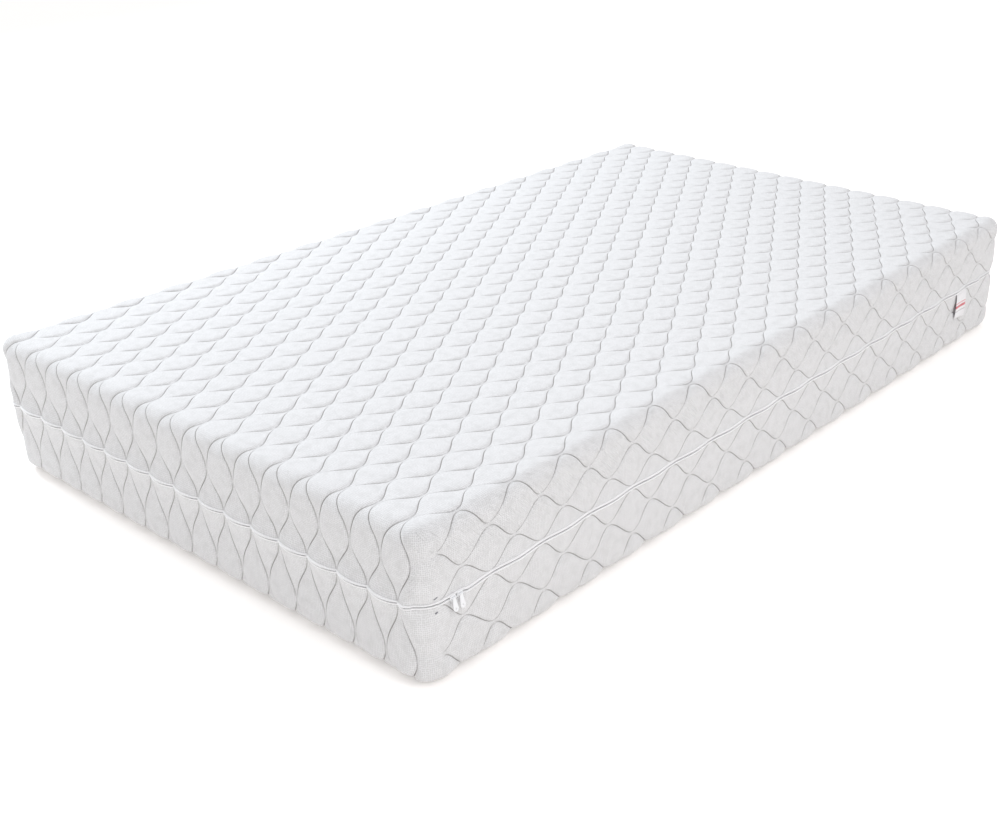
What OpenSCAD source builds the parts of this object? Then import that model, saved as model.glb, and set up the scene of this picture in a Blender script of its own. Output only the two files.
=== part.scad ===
// Memory foam mattress with a zip-off quilted cover.
// A three-layer foam core sits inside two quilted half covers that a zip joins all the
// way round, a little above mid height. Two sliders share one chain.
// Origin: centre of the underside. X across the width, Y along the length, Z up.

/* [Mattress] */
// Overall width, over the crowns of the quilting
mattress_w = 1200; // [800:10:2000]
// Overall length, over the crowns of the quilting
mattress_l = 2000; // [1800:10:2200]
// Overall height
mattress_h = 286; // [240:2:340]
// Radius of the four upright corners, in plan
corner_r = 50; // [42:1:80]
// Radius of the rolled top and bottom edges
edge_r = 30; // [22:1:36]

/* [Quilted cover] */
// Thickness of the outer knit
knit_t = 1; // [0.6:0.1:1.4]
// Thickness of the polyester wadding
wadding_t = 8.2; // [7:0.2:10]
// Thickness of the non-woven backing
backing_t = 0.8; // [0.4:0.1:1.2]
// Radius of the turned-in edge beside the zip
lip_r = 4; // [2.5:0.5:5]

/* [Foam core] */
// Thickness of the firm support foam
support_h = 150; // [100:5:160]
// Thickness of the transition foam
transition_h = 50; // [30:5:60]
// Room between the core and the inside of the cover
core_gap = 0.5; // [0.4:0.1:1]

/* [Zip] */
// Height of the zip above the underside
zip_z = 150; // [130:1:156]
// Height of the groove that the zip runs in
groove_h = 11; // [10.5:0.5:14]
// How far the tape's face lies below the crowns of the cover
tape_depth = 1.5; // [1:0.1:3]
// Width of one tape
tape_w = 14; // [12:1:20]
// Thickness of the tape
tape_t = 0.8; // [0.5:0.1:1]
// Height of one row of coil
coil_h = 1.8; // [1.4:0.1:2.2]
// Thickness of the coil, behind the tape
coil_t = 1.8; // [1.2:0.1:2]

/* [Sliders] */
// Distance of slider A from the foot end's outermost point
slider_a_inset = 68; // [60:1:100]
// Distance between the two sliders along the zip
slider_pitch = 15; // [14:1:40]
// Length of a slider along the zip
slider_l = 12; // [10:0.5:13]
// Height of a slider across the zip
slider_h = 9; // [8:0.5:9.5]
// Length of a pull below its hinge
pull_l = 23.5; // [16:0.5:35]
// Width of a pull at its lower end
pull_w = 10; // [8:0.5:12]
// Angle at which a pull leans out over the quilting
pull_lean = 10; // [9:1:20]

/* [Label and stitches] */
// Width of the side label
label_w = 50; // [20:1:60]
// How far the side label hangs below the zip
label_drop = 68; // [30:1:80]
// Distance of the label's middle from the head end's outermost point
label_inset = 206; // [120:1:400]
// Length of a bartack
bartack_l = 6; // [4:0.5:10]
// Distance of a bartack from the middle of the zip
bartack_z = 13; // [11:0.5:20]

/* [Hidden] */
$fn = 64;

// The straight runs end at the corner axes, which stand at (+-axis_x, +-axis_y).
axis_x = mattress_w / 2 - corner_r;
axis_y = mattress_l / 2 - corner_r;
edge_u = corner_r - edge_r;
edge_z = mattress_h - edge_r;

// Depths below the outer surface, layer by layer.
wadding_in = knit_t + wadding_t;
cover_t = wadding_in + backing_t;
foam_out = cover_t + core_gap;

// Zip, measured from the middle of the chain.
// A half cover is drawn as the upper one, $seam_z being its zip's height, and turned over
// to make the lower one.
$seam_z = zip_z;
function groove_z() = $seam_z + groove_h / 2;
tape_u = corner_r - tape_depth - tape_t;
tape_gap = 1.8;
coil_gap = 1;

// Slider, in its own frame: X out of the cover, Y along the zip, Z up.
chain_x = mattress_w / 2 - tape_depth - tape_t / 2;
slider_a_y = -mattress_l / 2 + slider_a_inset;
slider_b_y = slider_a_y + slider_pitch;
plate_t = 1.4;
outer_plate_x = 0.9;
inner_plate_t = 1.2;
inner_plate_x = -tape_t / 2 - coil_t - 0.5 - inner_plate_t;
flange_t = 1;
post_t = 0.4;
post_l = 2;
crown_x = 4.2;
crown_r = 0.7;
crown_l = 9.2;
crown_foot_l = 1.4;
knuckle_r = 1.5;
knuckle_bore_r = 0.85;
knuckle_w = 5.6;
pull_t = 1.2;
pull_hole_r = 1.6;

label_t = 0.6;
label_y = mattress_l / 2 - label_inset;
bartack_t = 0.7;
bartack_h = 2.2;
bartack_angle = 16;

// ---- Sections: u runs outwards from a corner's axis, z up ----

// Quarter of a disc, from its centre outwards and up.
module quarter(radius) {
    intersection() {
        circle(r = radius);
        square(radius);
    }
}

// Upper half of the mattress at a depth below its surface, cut level at z_low.
module half_section(depth, z_low) {
    translate([0, z_low])
        square([corner_r - depth, edge_z - z_low]);
    translate([0, z_low])
        square([edge_u, mattress_h - depth - z_low]);
    translate([edge_u, edge_z])
        quarter(edge_r - depth);
}

// The same section with its lower outer edge turned in beside the zip.
module lipped_section(depth) {
    difference() {
        half_section(depth, groove_z() + depth);
        translate([corner_r - lip_r, groove_z() - 1])
            square([lip_r + 1, lip_r + 1]);
    }
    translate([corner_r - lip_r, groove_z() + lip_r])
        mirror([0, 1])
            quarter(lip_r - depth);
}

// Both halves together, for what fills the cover.
module whole_section(depth) {
    translate([0, edge_r])
        square([corner_r - depth, mattress_h - 2 * edge_r]);
    translate([0, depth])
        square([edge_u, mattress_h - 2 * depth]);
    translate([edge_u, edge_z])
        quarter(edge_r - depth);
    translate([edge_u, edge_r])
        mirror([0, 1])
            quarter(edge_r - depth);
}

// ---- Sweeps ----

// Carries a section round the four corners and along the four sides.
module around() {
    for (k = [0 : 3]) {
        odd = k % 2;
        reach = odd == 0 ? axis_x : axis_y;
        run = odd == 0 ? axis_y : axis_x;
        rotate(90 * k) {
            translate([reach, 0, 0])
                rotate([90, 0, 0])
                    linear_extrude(height = 2 * run, center = true)
                        children();
            translate([reach, run, 0])
                rotate_extrude(angle = 90)
                    children();
        }
    }
}

// Flat panel between the corner axes.
module panel(z_low, thickness) {
    translate([-axis_x, -axis_y, z_low])
        cube([2 * axis_x, 2 * axis_y, thickness]);
}

// Draws a half with the lower half's seam height and turns it over.
module lower() {
    $seam_z = mattress_h - zip_z;
    translate([0, 0, mattress_h])
        mirror([0, 0, 1])
            children();
}

// ---- Foam core ----

// One foam block of the stack, from z_low to z_high of the whole core.
module foam_block(z_low, z_high) {
    around()
        intersection() {
            whole_section(foam_out);
            translate([0, z_low])
                square([corner_r, z_high - z_low]);
        }
    panel(z_low, z_high - z_low);
}

module support_foam() {
    color("#DCE6EC")
        translate([0, 0, -core_gap])
            foam_block(foam_out, foam_out + support_h);
}

module transition_foam() {
    color("#CFE3E6")
        translate([0, 0, -core_gap])
            foam_block(foam_out + support_h, foam_out + support_h + transition_h);
}

module memory_foam() {
    color("#F3EBCB")
        translate([0, 0, -core_gap])
            foam_block(foam_out + support_h + transition_h, mattress_h - foam_out);
}

// ---- Quilted cover, drawn as the upper half ----

// Knit face, turned in under the edge as far as the tape.
module half_knit() {
    around()
        difference() {
            lipped_section(0);
            lipped_section(knit_t);
            translate([-1, groove_z() - 1])
                square([tape_u + tape_t + 1, lip_r + 1]);
            translate([-1, groove_z()])
                square([edge_u + 1, mattress_h - knit_t - groove_z()]);
        }
    panel(mattress_h - knit_t, knit_t);
}

// Wadding, parted beside the zip to take the tape.
module half_wadding() {
    around()
        difference() {
            lipped_section(knit_t);
            half_section(wadding_in, groove_z());
            tape_section(0);
        }
    panel(mattress_h - wadding_in, wadding_t);
}

// Backing, turned out under the wadding as far as the tape.
module half_backing() {
    around()
        difference() {
            union() {
                half_section(wadding_in, groove_z());
                translate([0, groove_z()])
                    square([tape_u, knit_t]);
            }
            half_section(cover_t, groove_z() - 1);
        }
    panel(mattress_h - cover_t, backing_t);
}

module upper_cover_knit() {
    color("#F0F1F4") half_knit();
}

module upper_cover_wadding() {
    color("#FAFAFA") half_wadding();
}

module upper_cover_backing() {
    color("#E6E7E8") half_backing();
}

module lower_cover_knit() {
    color("#E4E4E6") lower() half_knit();
}

module lower_cover_wadding() {
    color("#FAFAFA") lower() half_wadding();
}

module lower_cover_backing() {
    color("#E6E7E8") lower() half_backing();
}

// ---- Zip chain, drawn as the upper half ----

// Tape standing between the two turned-in edges.
module tape_section(gap) {
    translate([tape_u, $seam_z + gap])
        square([tape_t, tape_w - gap]);
}

// One row of coil, drawn as the plain band that it fills.
module coil_section() {
    translate([tape_u - coil_t, $seam_z + coil_gap / 2])
        square([coil_t, coil_h]);
}

module zip_tape_upper() {
    color("#F7F8FA") around() tape_section(tape_gap / 2);
}

module zip_tape_lower() {
    color("#F7F8FA") lower() around() tape_section(tape_gap / 2);
}

module zip_coil_upper() {
    color("#FFFFFF") around() coil_section();
}

module zip_coil_lower() {
    color("#FFFFFF") lower() around() coil_section();
}

// ---- Bartacks and label ----

// A short stitched bar with round ends, standing on the corner's surface.
module bartack() {
    translate([corner_r, 0, 0])
        rotate([0, 90, 0])
            linear_extrude(height = bartack_t)
                union() {
                    square([bartack_h, bartack_l - bartack_h], center = true);
                    for (side = [-1, 1])
                        translate([0, side * (bartack_l - bartack_h) / 2])
                            circle(d = bartack_h);
                }
}

// One bartack at each corner, just off the long side, at a height above the zip.
module bartack_set() {
    for (sx = [-1, 1], sy = [-1, 1])
        translate([sx * axis_x, sy * axis_y, $seam_z + bartack_z])
            rotate(sx > 0 ? sy * bartack_angle : 180 - sy * bartack_angle)
                bartack();
}

module bartacks_upper() {
    color("#9A9AA0") bartack_set();
}

module bartacks_lower() {
    color("#9A9AA0") lower() bartack_set();
}

// Woven label: its upper edge is caught in the seam and the rest hangs outside.
module side_label() {
    label_x = mattress_w / 2 + 0.3;
    label_top = zip_z - groove_h / 2 + 0.1;
    color("#F6F4F4") {
        translate([mattress_w / 2 - tape_depth + 0.05, label_y - label_w / 2, label_top])
            cube([tape_depth + 0.25 + label_t, label_w, label_t]);
        translate([label_x, label_y - label_w / 2, zip_z - label_drop])
            cube([label_t, label_w, label_top - zip_z + label_drop + label_t / 2]);
    }
}

// ---- Sliders ----

// Plate of a slider, as an outline across X.
module slider_plate(x_low, thickness) {
    translate([x_low, 0, 0])
        rotate([90, 0, 90])
            linear_extrude(height = thickness)
                intersection() {
                    square([slider_l, slider_h], center = true);
                    circle(d = slider_l + 0.8);
                }
}

// Two plates joined by the post between the coils. The outer plate has a flange at
// each edge, the inner plate one below, so that the upper half can be lifted off.
module slider_body() {
    inner_face = inner_plate_x + inner_plate_t;
    color("#F2F3F5") {
        slider_plate(outer_plate_x, plate_t);
        slider_plate(inner_plate_x, inner_plate_t);
        translate([inner_face - 0.1, slider_l / 2 - post_l - 0.6, -post_t / 2])
            cube([outer_plate_x - inner_face + 0.2, post_l, post_t]);
        for (side = [-1, 1])
            translate([outer_plate_x - 0.3, -slider_l / 4, side * (slider_h - flange_t) / 2 - flange_t / 2])
                cube([0.4, slider_l / 2, flange_t]);
        translate([inner_face - 0.1, -slider_l / 4, -slider_h / 2])
            cube([coil_t - 0.2, slider_l / 2, flange_t]);
        slider_crown();
    }
}

// Crown: a round bar along the zip on two feet, which the pull turns on.
module slider_crown() {
    foot_x = outer_plate_x + plate_t - 0.2;
    translate([crown_x, 0, 0])
        rotate([90, 0, 0])
            cylinder(h = crown_l - 0.4, r = crown_r, center = true);
    for (side = [-1, 1])
        translate([0, side * (crown_l - crown_foot_l) / 2, 0]) {
            translate([foot_x, -crown_foot_l / 2, -crown_r - 0.4])
                cube([crown_x - foot_x, crown_foot_l, 2 * crown_r + 0.8]);
            translate([crown_x, 0, 0])
                rotate([90, 0, 0])
                    cylinder(h = crown_foot_l, r = crown_r + 0.4, center = true);
        }
}

// Pull: a knuckle round the crown's bar and a tapered tab with a small eye.
module slider_pull() {
    color("#F6F7F9")
        translate([crown_x, 0, 0])
            rotate([0, -pull_lean, 0])
                difference() {
                    union() {
                        rotate([90, 0, 0])
                            cylinder(h = knuckle_w, r = knuckle_r, center = true);
                        rotate([90, 0, 90])
                            linear_extrude(height = pull_t, center = true)
                                pull_outline();
                    }
                    rotate([90, 0, 0])
                        cylinder(h = pull_w + 1, r = knuckle_bore_r, center = true);
                }
}

// Outline of the pull, hanging down from the hinge, with a round lower end.
module pull_outline() {
    end_r = pull_w / 2;
    difference() {
        union() {
            polygon([
                [-knuckle_w / 2, 0],
                [-end_r, -pull_l + end_r],
                [end_r, -pull_l + end_r],
                [knuckle_w / 2, 0]
            ]);
            translate([0, -pull_l + end_r])
                circle(r = end_r);
        }
        translate([0, -pull_l + end_r])
            circle(r = pull_hole_r);
    }
}

// Places a slider or its pull on the chain of the right-hand long side.
module on_chain(y) {
    translate([chain_x, y, zip_z])
        children();
}

module slider_a_body() {
    on_chain(slider_a_y) slider_body();
}

module slider_a_pull() {
    on_chain(slider_a_y) slider_pull();
}

module slider_b_body() {
    on_chain(slider_b_y) slider_body();
}

module slider_b_pull() {
    on_chain(slider_b_y) slider_pull();
}

support_foam();
transition_foam();
memory_foam();
lower_cover_backing();
lower_cover_wadding();
lower_cover_knit();
upper_cover_backing();
upper_cover_wadding();
upper_cover_knit();
zip_tape_lower();
zip_tape_upper();
zip_coil_lower();
zip_coil_upper();
bartacks_lower();
bartacks_upper();
side_label();
slider_a_body();
slider_a_pull();
slider_b_body();
slider_b_pull();
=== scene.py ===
"""A memory foam mattress with a quilted zip-off cover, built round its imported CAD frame.

The cover's two padded halves, their backings, the zip and its coils, the foams, the bartacks
and the side label are surfaces worked out with numpy. The sliders and pulls are CAD nodes.
"""

import logging
import math
from dataclasses import dataclass
from enum import Enum

import bpy
import numpy as np
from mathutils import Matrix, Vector


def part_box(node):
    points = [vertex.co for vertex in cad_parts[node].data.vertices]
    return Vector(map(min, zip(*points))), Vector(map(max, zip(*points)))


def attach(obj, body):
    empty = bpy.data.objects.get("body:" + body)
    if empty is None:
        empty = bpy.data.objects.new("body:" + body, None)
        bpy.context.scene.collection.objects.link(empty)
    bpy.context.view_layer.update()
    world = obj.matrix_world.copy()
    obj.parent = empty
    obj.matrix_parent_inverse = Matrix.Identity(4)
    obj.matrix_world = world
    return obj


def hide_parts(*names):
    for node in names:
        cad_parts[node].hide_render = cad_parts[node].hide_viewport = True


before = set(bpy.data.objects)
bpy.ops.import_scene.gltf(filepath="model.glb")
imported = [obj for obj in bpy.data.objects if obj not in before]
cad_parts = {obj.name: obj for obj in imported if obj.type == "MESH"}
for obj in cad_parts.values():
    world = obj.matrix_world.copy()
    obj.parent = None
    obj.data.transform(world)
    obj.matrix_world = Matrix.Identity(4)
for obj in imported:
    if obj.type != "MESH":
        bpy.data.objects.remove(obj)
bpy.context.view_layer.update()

LOG = logging.getLogger("mattress")
MM = 0.001


# ---------------------------------------------------------------- meshes and nodes


def linear(colour: str) -> tuple[float, float, float, float]:
    """Turns an sRGB hex colour into the linear colour that a shader takes.

    Args:
        colour: Six hex digits after a hash sign.

    Returns:
        Linear red, green, blue and an alpha of 1.
    """
    parts = np.array([int(colour[i : i + 2], 16) for i in (1, 3, 5)]) / 255
    low, high = parts / 12.92, ((parts + 0.055) / 1.055) ** 2.4
    return (*np.where(parts <= 0.04045, low, high).tolist(), 1.0)


def add_mesh(
    name: str,
    points: np.ndarray,
    quads: np.ndarray,
    caps: tuple[np.ndarray, ...] = (),
    maps: dict[str, np.ndarray] | None = None,
    values: dict[str, np.ndarray] | None = None,
) -> bpy.types.Object:
    """Puts points and faces into a new mesh object at the origin.

    Args:
        name: The piece's name.
        points: Vertex places in metres, one row each.
        quads: Vertex numbers of each four-sided face, turned to face outwards.
        caps: Vertex numbers of each many-sided closing face.
        maps: UV maps, one place for each corner of the quads; the caps get zeros.
        values: Float attributes, one value for each vertex.

    Returns:
        The new object.
    """
    mesh = bpy.data.meshes.new(name)
    loops = np.concatenate([quads.ravel(), *caps]).astype(np.int32)
    totals = np.array([4] * len(quads) + [len(cap) for cap in caps])
    starts = np.concatenate([[0], np.cumsum(totals)[:-1]]).astype(np.int32)
    mesh.vertices.add(len(points))
    mesh.vertices.foreach_set("co", np.asarray(points, np.float32).ravel())
    mesh.loops.add(len(loops))
    mesh.loops.foreach_set("vertex_index", loops)
    mesh.polygons.add(len(totals))
    mesh.polygons.foreach_set("loop_start", starts)
    smooth = np.array([True] * len(quads) + [False] * len(caps))
    mesh.polygons.foreach_set("use_smooth", smooth)
    for label, places in (maps or {}).items():
        full = np.zeros((len(loops), 2), np.float32)
        full[: quads.size] = places.reshape(-1, 2)
        mesh.uv_layers.new(name=label).data.foreach_set("uv", full.ravel())
    for label, numbers in (values or {}).items():
        layer = mesh.attributes.new(label, "FLOAT", "POINT")
        layer.data.foreach_set("value", np.asarray(numbers, np.float32).ravel())
    mesh.update(calc_edges=True)
    mesh.validate()
    piece = bpy.data.objects.new(name, mesh)
    bpy.context.scene.collection.objects.link(piece)
    return piece


def grid_quads(rows: int, columns: int, ring: bool = False, torus: bool = False) -> np.ndarray:
    """Numbers the faces of a grid whose vertices run row by row.

    Args:
        rows: How many rows of vertices there are.
        columns: How many vertices a row has.
        ring: Whether each row closes on itself.
        torus: Whether the last row also joins the first.

    Returns:
        One row of four vertex numbers for each face.
    """
    across = np.arange(columns if ring else columns - 1)
    down = np.arange(rows if torus else rows - 1)
    r, c = np.meshgrid(down, across, indexing="ij")
    r2, c2 = (r + 1) % rows, (c + 1) % columns
    faces = np.stack([r * columns + c, r * columns + c2, r2 * columns + c2, r2 * columns + c])
    return faces.reshape(4, -1).T


def put(
    tree: bpy.types.NodeTree, kind: str, sockets: dict | None = None, **settings: object
) -> bpy.types.Node:
    """Adds a shader node with its settings, values and links.

    Args:
        tree: The node tree to add to.
        kind: The node's type, without its ShaderNode prefix.
        sockets: Input name or number to a value, or to the output socket that feeds it.
        **settings: The node's own properties.

    Returns:
        The new node.
    """
    made = tree.nodes.new("ShaderNode" + kind)
    for key, value in settings.items():
        setattr(made, key, value)
    for key, value in (sockets or {}).items():
        if isinstance(value, bpy.types.NodeSocket):
            tree.links.new(value, made.inputs[key])
        else:
            made.inputs[key].default_value = value
    return made


def blank_material(name: str) -> tuple[bpy.types.Material, bpy.types.NodeTree]:
    """Makes a material with an empty node tree.

    Args:
        name: The material's name.

    Returns:
        The material and its tree.
    """
    material = bpy.data.materials.new(name)
    material.use_nodes = True
    material.node_tree.nodes.clear()
    return material, material.node_tree


def close_tree(
    tree: bpy.types.NodeTree, colour: bpy.types.NodeSocket, bump: list[tuple], **shader: object
) -> None:
    """Ends a tree with a Principled shader under a stack of bumps.

    Args:
        tree: The tree to end.
        colour: The socket that gives the base colour.
        bump: Height socket and depth in metres of each bump, the coarsest first.
        **shader: Values of the shader's sockets, with underscores for spaces.
    """
    normal = None
    for height, depth in bump:
        sockets = {"Height": height, "Distance": depth, "Strength": 1.0}
        if normal:
            sockets["Normal"] = normal
        normal = put(tree, "Bump", sockets).outputs["Normal"]
    sockets = {"Base Color": colour}
    if normal:
        sockets["Normal"] = normal
    sockets |= {key.replace("_", " "): value for key, value in shader.items()}
    made = put(tree, "BsdfPrincipled", sockets)
    put(tree, "OutputMaterial", {"Surface": made.outputs[0]})


def mixed(
    tree: bpy.types.NodeTree, factor: bpy.types.NodeSocket, low: object, high: object
) -> bpy.types.NodeSocket:
    """Mixes two colours by a factor.

    Args:
        tree: The tree to add to.
        factor: The share of the second colour.
        low: The first colour, or the socket that gives it.
        high: The second colour, or the socket that gives it.

    Returns:
        The mixed colour's socket.
    """
    sockets = {"Factor": factor, 6: low, 7: high}
    return put(tree, "Mix", sockets, data_type="RGBA").outputs[2]


def ranged(
    tree: bpy.types.NodeTree, value: bpy.types.NodeSocket, low: float, high: float
) -> bpy.types.NodeSocket:
    """Maps a value smoothly to the range from 0 to 1.

    Args:
        tree: The tree to add to.
        value: The socket to map.
        low: The value that gives 0.
        high: The value that gives 1.

    Returns:
        The mapped value's socket.
    """
    sockets = {"Value": value, "From Min": low, "From Max": high}
    made = put(tree, "MapRange", sockets, interpolation_type="SMOOTHSTEP")
    return made.outputs[0]


def maths(
    tree: bpy.types.NodeTree, operation: str, first: object, second: object
) -> bpy.types.NodeSocket:
    """Returns the socket of a sum, product or comparison of two values or sockets."""
    return put(tree, "Math", {0: first, 1: second}, operation=operation).outputs[0]


def noise(
    tree: bpy.types.NodeTree, place: bpy.types.NodeSocket, scale: float, detail: float
) -> bpy.types.NodeSocket:
    """Returns the socket of a noise with so many waves to the metre at each place."""
    return put(tree, "TexNoise", {"Vector": place, "Scale": scale, "Detail": detail}).outputs[0]


def finished(
    piece: bpy.types.Object,
    material: bpy.types.Material,
    slot: str,
    *nodes: str,
    fill: float | None = None,
) -> bpy.types.Object:
    """Gives a piece its finish and hides the CAD nodes that it replaces.

    Args:
        piece: The piece.
        material: Its finish.
        slot: A name for the finish; not used.
        *nodes: The CAD nodes that the piece replaces.
        fill: For a padded piece, the share of its inside that is padding; not used.

    Returns:
        The same piece.
    """
    piece.data.materials.append(material)
    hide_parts(*nodes)
    return piece


# ---------------------------------------------------------------- finishes


@dataclass(frozen=True)
class DoubleJersey:
    """White double-jersey ticking, knitted with fine pin dots and quilted.

    The knit scatters light softly, a little mottled by the dots, with a faint sheen at the
    edges. The stitched lines are given a painted shade, a darker colour that stands in for
    the shadow in their narrow channels, and fine slanting folds show where the cloth is
    pulled over the long edges.
    """

    name: str = "double_jersey_ticking"
    face: str = "#E5E5E6"
    dot: str = "#D3D3D3"
    # valley is a painted shade: the darker colour the stitch lines take in place of the shadow in
    # their narrow channels
    valley: str = "#8E8B88"
    dot_pitch: float = 3.6 * MM  # the real 2 mm dots are drawn coarser, so that they show
    pucker_pitch: float = 22 * MM
    stress_pitch: float = 2.6 * MM
    stress_length: float = 38 * MM
    line_width: float = 2.0 * MM

    def material(self) -> bpy.types.Material:
        """Returns the finish as a material."""
        material, tree = blank_material(self.name)
        cloth = put(tree, "UVMap", uv_map="Cloth").outputs[0]
        seam = put(tree, "Attribute", attribute_name="seam").outputs["Fac"]
        depth = put(tree, "Attribute", attribute_name="depth").outputs["Fac"]
        stress = put(tree, "Attribute", attribute_name="stress").outputs["Fac"]
        dots = put(
            tree,
            "TexVoronoi",
            {"Vector": cloth, "Scale": 1 / self.dot_pitch, "Randomness": 0.3},
            voronoi_dimensions="2D",
        ).outputs["Distance"]
        dot = ranged(tree, dots, 0.15, 0.6)
        cloudy = put(
            tree, "TexNoise", {"Vector": cloth, "Scale": 60.0, "Detail": 2.0}, noise_dimensions="2D"
        ).outputs[0]
        mottle = maths(tree, "MULTIPLY", dot, cloudy)
        base = mixed(tree, ranged(tree, mottle, 0.0, 0.55), linear(self.dot), linear(self.face))
        # Painted shade: near each stitch line, weighted by the line's depth, the colour is mixed
        # towards valley in place of the channel's shadow
        clear = ranged(tree, seam, 0.0, self.line_width)
        line = maths(tree, "SUBTRACT", 1.0, clear)
        line = maths(tree, "MULTIPLY", line, depth)
        colour = mixed(tree, line, base, linear(self.valley))
        pucker = put(
            tree,
            "TexNoise",
            {"Vector": cloth, "Scale": 1 / self.pucker_pitch, "Detail": 2.0, "Roughness": 0.45},
            noise_dimensions="2D",
        ).outputs[0]
        pulled = maths(tree, "MULTIPLY", self._pulled(tree, cloth), stress)
        close_tree(
            tree,
            colour,
            [(pucker, 0.7 * MM), (pulled, 1.5 * MM), (dot, 0.2 * MM)],
            Roughness=0.92,
            Sheen_Weight=0.22,
            Sheen_Roughness=0.45,
            Specular_IOR_Level=0.25,
        )
        return material

    def _pulled(
        self, tree: bpy.types.NodeTree, cloth: bpy.types.NodeSocket
    ) -> bpy.types.NodeSocket:
        """Draws the fine folds that the rolled edge pulls slantwise across the knit.

        They are noise stretched along |a| + b and fine across it, along |a| - b.

        Args:
            tree: The tree to add to.
            cloth: The socket that gives the place on the cloth.

        Returns:
            The folds' height socket.
        """
        parts = put(tree, "SeparateXYZ", {0: cloth}).outputs
        wide = put(tree, "Math", {0: parts[0]}, operation="ABSOLUTE").outputs[0]
        across = maths(tree, "SUBTRACT", wide, parts[1])
        along = maths(tree, "ADD", wide, parts[1])
        fine = maths(tree, "MULTIPLY", across, 0.7 / self.stress_pitch)
        long = maths(tree, "MULTIPLY", along, 0.7 / self.stress_length)
        place = put(tree, "CombineXYZ", {0: fine, 1: long}).outputs[0]
        sockets = {"Vector": place, "Scale": 1.0, "Detail": 1.0}
        return put(tree, "TexNoise", sockets, noise_dimensions="2D").outputs[0]


@dataclass(frozen=True)
class NonWoven:
    """Thin spun-bonded polyester backing: flat and papery, with a point-bond pattern."""

    name: str = "spunbond_backing"
    fibre: str = "#DCDFE2"
    bond: str = "#C6CAD0"
    bond_pitch: float = 4 * MM

    def material(self) -> bpy.types.Material:
        """Returns the finish as a material."""
        material, tree = blank_material(self.name)
        place = put(tree, "TexCoord").outputs["Object"]
        bonds = put(
            tree, "TexVoronoi", {"Vector": place, "Scale": 1 / self.bond_pitch, "Randomness": 0.2}
        ).outputs["Distance"]
        fibres = noise(tree, place, 420.0, 5.0)
        point = ranged(tree, bonds, 0.12, 0.32)
        colour = mixed(tree, point, linear(self.bond), linear(self.fibre))
        close_tree(tree, colour, [(point, 0.2 * MM), (fibres, 0.15 * MM)], Roughness=0.85)
        return material


@dataclass(frozen=True)
class OpenCellFoam:
    """Slab foam cut with a blade: matt, with open cells that show as fine pores."""

    name: str
    face: str
    pore: str
    cell: float = 2.2 * MM

    def material(self) -> bpy.types.Material:
        """Returns the finish as a material."""
        material, tree = blank_material(self.name)
        place = put(tree, "TexCoord").outputs["Object"]
        cells = put(tree, "TexVoronoi", {"Vector": place, "Scale": 1 / self.cell})
        grain = noise(tree, place, 260.0, 4.0)
        patch = noise(tree, place, 7.0, 3.0)
        open_cell = ranged(tree, cells.outputs["Distance"], 0.1, 0.55)
        shade = maths(tree, "MULTIPLY", open_cell, grain)
        warm = mixed(tree, ranged(tree, shade, 0.08, 0.5), linear(self.pore), linear(self.face))
        tone = maths(tree, "MULTIPLY", patch, 0.25)
        colour = mixed(tree, tone, warm, linear(self.pore))
        bumps = [(open_cell, 0.5 * MM), (grain, 0.25 * MM)]
        close_tree(tree, colour, bumps, Roughness=0.95, Specular_IOR_Level=0.2)
        return material


@dataclass(frozen=True)
class WovenPolyester:
    """Tightly woven or braided polyester: small even threads with a slight gloss."""

    name: str
    thread: str
    gap: str
    pitch: float
    roughness: float = 0.6
    satin: float = 0.0
    bands: tuple[tuple[float, float, str], ...] = ()

    def material(self) -> bpy.types.Material:
        """Returns the finish as a material."""
        material, tree = blank_material(self.name)
        place = put(tree, "TexCoord").outputs["Object"]
        wave = 1 / self.pitch
        warp = put(
            tree,
            "TexWave",
            {"Vector": place, "Scale": wave / math.tau * 2},
            bands_direction="DIAGONAL",
        ).outputs[1]
        fibre = noise(tree, place, wave, 3.0)
        weave = maths(tree, "MULTIPLY", warp, fibre)
        seen = ranged(tree, weave, 0.02, 0.4)
        colour = mixed(tree, seen, linear(self.gap), linear(self.thread))
        for low, high, paint in self.bands:
            across = put(tree, "UVMap", uv_map="Cloth").outputs[0]
            down = put(tree, "SeparateXYZ", {0: across}).outputs[1]
            above = maths(tree, "GREATER_THAN", down, low)
            below = maths(tree, "LESS_THAN", down, high)
            inside = maths(tree, "MULTIPLY", above, below)
            colour = mixed(tree, inside, colour, linear(paint))
        close_tree(
            tree,
            colour,
            [(weave, 0.12 * MM)],
            Roughness=self.roughness,
            Sheen_Weight=self.satin,
            Specular_IOR_Level=0.4,
        )
        return material


@dataclass(frozen=True)
class StoveEnamel:
    """White stove enamel on a zinc die casting: smooth, glossy, worn grey in a few spots."""

    name: str = "white_stove_enamel"
    face: str = "#F1F2F4"
    worn: str = "#B9BCC2"

    def material(self) -> bpy.types.Material:
        """Returns the finish as a material."""
        material, tree = blank_material(self.name)
        place = put(tree, "TexCoord").outputs["Object"]
        ripple = noise(tree, place, 600.0, 2.0)
        wear = noise(tree, place, 240.0, 6.0)
        spots = ranged(tree, wear, 0.66, 0.74)
        colour = mixed(tree, spots, linear(self.face), linear(self.worn))
        close_tree(
            tree,
            colour,
            [(ripple, 0.04 * MM)],
            Roughness=0.28,
            Coat_Weight=0.4,
            Coat_Roughness=0.12,
        )
        return material


# ---------------------------------------------------------------- the cover's form


LEAD_STRIPS = 4  # strips of the quilting beyond the first stitch line of the lattice
MID_STRIP = 19


class Half(Enum):
    """The two halves of the cover, each with the way that its flat face looks."""

    UPPER = 1
    LOWER = -1


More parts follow.
